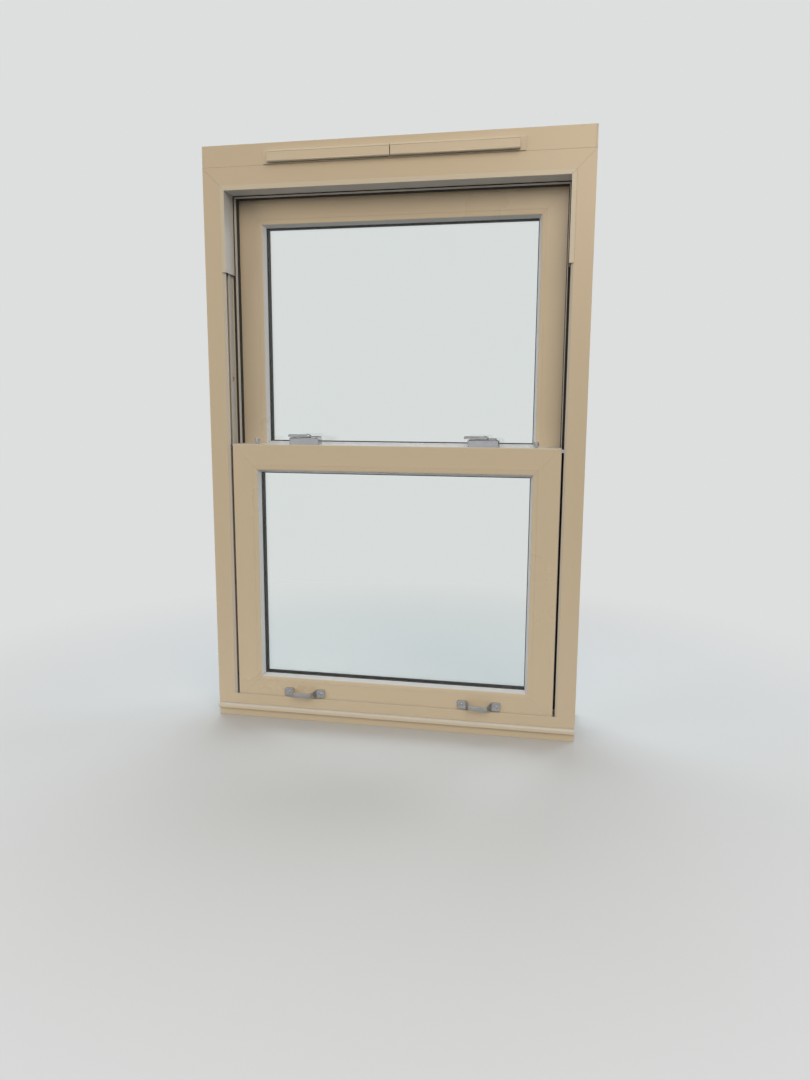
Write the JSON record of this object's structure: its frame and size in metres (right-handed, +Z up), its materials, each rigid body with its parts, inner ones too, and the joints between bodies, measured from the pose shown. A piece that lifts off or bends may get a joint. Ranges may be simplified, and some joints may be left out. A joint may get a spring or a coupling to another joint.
{
  "type": "vertical sliding sash window",
  "caption": "White plastic vertical sliding sash window with glazed upper and lower sashes, cam catches, tilt knobs, bright pull handles, a hinged trickle vent and a sloping outer sill.",
  "frame": {"origin": "middle of the underside of the outer sill, at the middle of the frame's depth", "axes": "+X to the right seen from the room, +Y towards the outside, +Z up"},
  "size_m": [0.85, 0.1955, 1.305],
  "materials": {
    "frame_plastic": "smooth white PVC-U",
    "sash_plastic": "smooth white PVC-U",
    "trim_plastic": "smooth white plastic",
    "vent_plastic": "smooth white plastic",
    "balance_plastic": "moulded",
    "reinforcement_steel": "galvanised",
    "interlock_metal": "white coated",
    "spacer_metal": "mill",
    "bright_metal": "polished",
    "gasket": "black",
    "pile": "woven pile",
    "glass": "clear float"
  },
  "bodies": {
    "frame": {"frame_head": "frame_plastic", "frame_jamb_left": "frame_plastic", "frame_jamb_right": "frame_plastic", "frame_sill": "frame_plastic", "frame_reinforcement": "reinforcement_steel", "outer_sill": "frame_plastic", "outer_sill_end_caps": "trim_plastic", "sill_trim": "trim_plastic", "head_extension": "frame_plastic", "track_cover_left": "trim_plastic", "track_cover_right": "trim_plastic", "track_cover_head": "trim_plastic", "frame_pile_seals": "pile", "vent_body": "vent_plastic", "vent_canopy": "vent_plastic", "balance_tubes": "balance_plastic", "head_extension_end_caps": "trim_plastic"},
    "lower_sash": {"lower_sash_bottom_rail": "sash_plastic", "lower_sash_top_rail": "sash_plastic", "lower_sash_stile_left": "sash_plastic", "lower_sash_stile_right": "sash_plastic", "lower_sash_reinforcement": "reinforcement_steel", "lower_glazing_beads": "sash_plastic", "lower_glass_panes": "glass", "lower_glass_spacer": "spacer_metal", "lower_glazing_gaskets": "gasket", "lower_pivot_shoes": "balance_plastic", "lower_tilt_latch_plates": "trim_plastic", "lower_balance_rods": "reinforcement_steel", "lower_interlock": "interlock_metal", "catch_body_left": "bright_metal", "catch_body_right": "bright_metal", "pull_handle_left": "bright_metal", "pull_handle_right": "bright_metal"},
    "upper_sash": {"upper_sash_bottom_rail": "sash_plastic", "upper_sash_top_rail": "sash_plastic", "upper_sash_stile_left": "sash_plastic", "upper_sash_stile_right": "sash_plastic", "upper_sash_reinforcement": "reinforcement_steel", "upper_glazing_beads": "sash_plastic", "upper_glass_panes": "glass", "upper_glass_spacer": "spacer_metal", "upper_glazing_gaskets": "gasket", "upper_pivot_shoes": "balance_plastic", "upper_tilt_latch_plates": "trim_plastic", "upper_balance_rods": "reinforcement_steel", "upper_interlock": "interlock_metal", "catch_keepers": "bright_metal"},
    "vent_flap_left_body": {"vent_flap_left": "vent_plastic"},
    "vent_flap_right_body": {"vent_flap_right": "vent_plastic"},
    "catch_lever_left_body": {"catch_lever_left": "bright_metal"},
    "catch_lever_right_body": {"catch_lever_right": "bright_metal"},
    "lower_tilt_knob_left_body": {"lower_tilt_knob_left": "bright_metal"},
    "lower_tilt_knob_right_body": {"lower_tilt_knob_right": "bright_metal"},
    "upper_tilt_knob_left_body": {"upper_tilt_knob_left": "bright_metal"},
    "upper_tilt_knob_right_body": {"upper_tilt_knob_right": "bright_metal"}
  },
  "joints": [
    {"name": "lower_sash_slide", "type": "slide", "parent": "frame", "child": "lower_sash", "axis": [0, 0, 1], "range_m": [0, 0.375]},
    {"name": "upper_sash_slide", "type": "slide", "parent": "frame", "child": "upper_sash", "axis": [0, 0, 1], "range_m": [-0.375, 0]},
    {"name": "catch_lever_left_turn", "type": "hinge", "parent": "lower_sash", "child": "catch_lever_left_body", "pos_m": [-0.203, -0.0275, 0.665], "axis": [0, 0, 1], "range_deg": [0, 150]},
    {"name": "catch_lever_right_turn", "type": "hinge", "parent": "lower_sash", "child": "catch_lever_right_body", "pos_m": [0.207, -0.0275, 0.665], "axis": [0, 0, 1], "range_deg": [0, 150]},
    {"name": "lower_tilt_knob_left_slide", "type": "slide", "parent": "lower_sash", "child": "lower_tilt_knob_left_body", "axis": [1, 0, 0], "range_m": [0, 0.0154], "stiffness_N_per_m": 250, "springref_m": -0.006},
    {"name": "lower_tilt_knob_right_slide", "type": "slide", "parent": "lower_sash", "child": "lower_tilt_knob_right_body", "axis": [-1, 0, 0], "range_m": [0, 0.0154], "stiffness_N_per_m": 250, "springref_m": -0.006},
    {"name": "upper_tilt_knob_left_slide", "type": "slide", "parent": "upper_sash", "child": "upper_tilt_knob_left_body", "axis": [1, 0, 0], "range_m": [0, 0.0154], "stiffness_N_per_m": 250, "springref_m": -0.006},
    {"name": "upper_tilt_knob_right_slide", "type": "slide", "parent": "upper_sash", "child": "upper_tilt_knob_right_body", "axis": [-1, 0, 0], "range_m": [0, 0.0154], "stiffness_N_per_m": 250, "springref_m": -0.006},
    {"name": "vent_flap_left_hinge", "type": "hinge", "parent": "frame", "child": "vent_flap_left_body", "pos_m": [-0.136, -0.074, 1.2682], "axis": [1, 0, 0], "range_deg": [0, 40]},
    {"name": "vent_flap_right_hinge", "type": "hinge", "parent": "frame", "child": "vent_flap_right_body", "pos_m": [0.136, -0.074, 1.2682], "axis": [1, 0, 0], "range_deg": [0, 40]}
  ]
}
